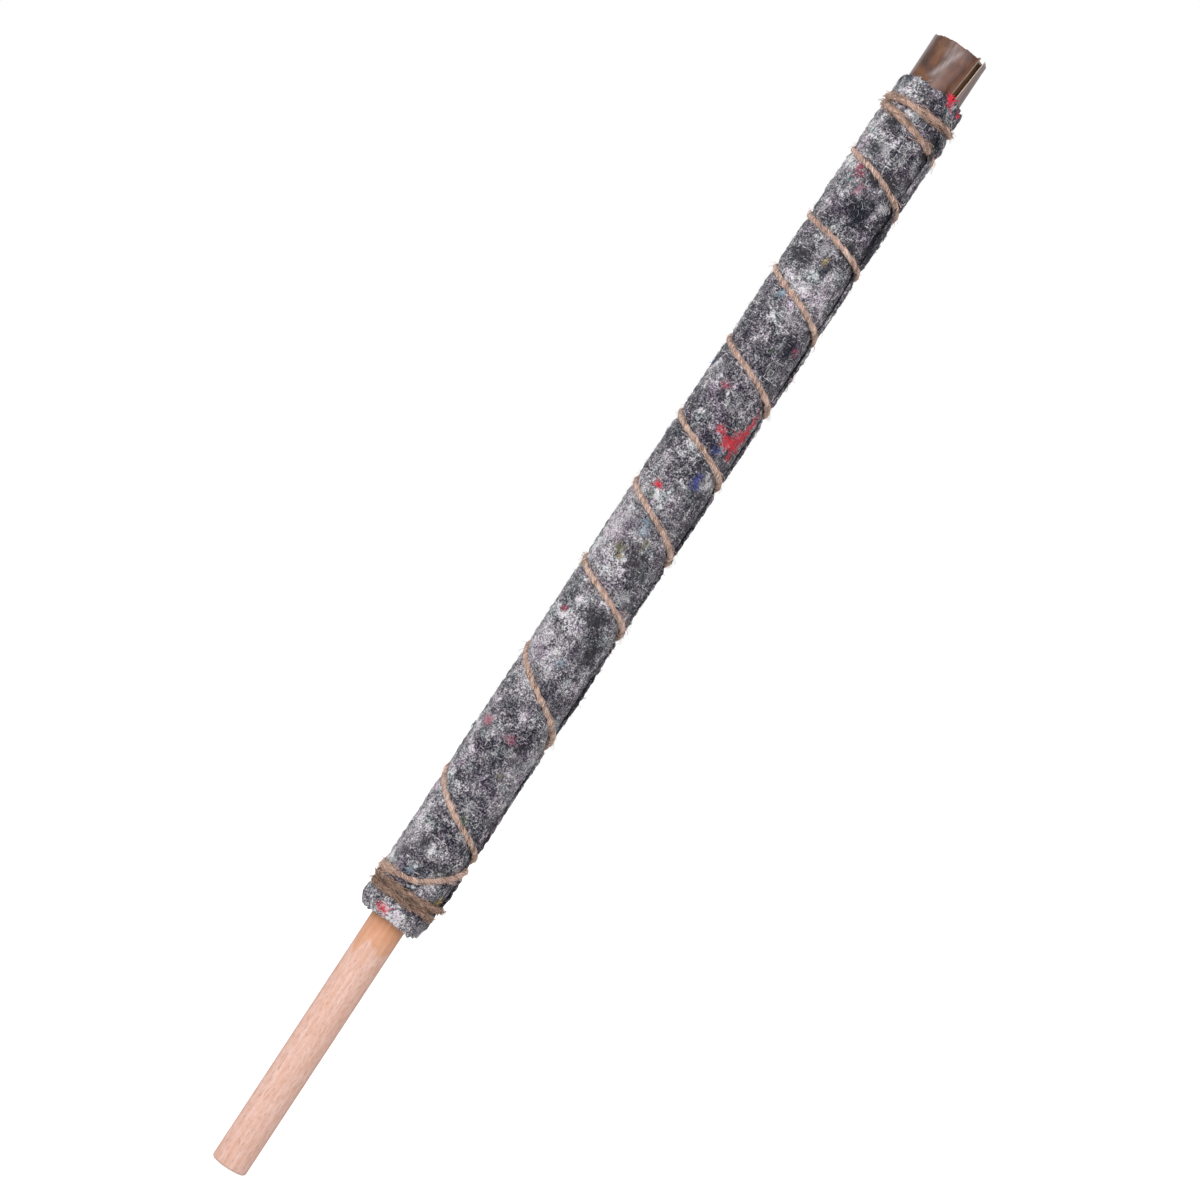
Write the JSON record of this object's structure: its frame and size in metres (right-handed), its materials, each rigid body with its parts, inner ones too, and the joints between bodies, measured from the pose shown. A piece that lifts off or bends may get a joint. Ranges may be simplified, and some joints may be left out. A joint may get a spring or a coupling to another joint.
{
  "type": "hand torch",
  "caption": "Long hand-held torch: round wooden stick, roll of waxed paper round its upper part, felt wrapped over the paper and bound with spiral jute twine.",
  "frame": {"origin": "centre of the stick's lower end face", "axes": "+Z along the stick towards the end that burns; the front, beside the felt's free edge, faces -Y"},
  "size_m": [0.0423, 0.041, 0.68],
  "materials": {
    "beech": "sanded, unvarnished",
    "brown_waxed_paper": "waxed, glossy",
    "clear_waxed_paper": "waxed, glossy",
    "recycled_felt": "matt, fibrous",
    "jute": "matt, hairy"
  },
  "bodies": {
    "root": {"handle_stick": "beech", "inner_paper_roll": "brown_waxed_paper", "outer_paper_sheet": "clear_waxed_paper", "felt_wrap": "recycled_felt", "jute_twine": "jute"}
  },
  "joints": []
}
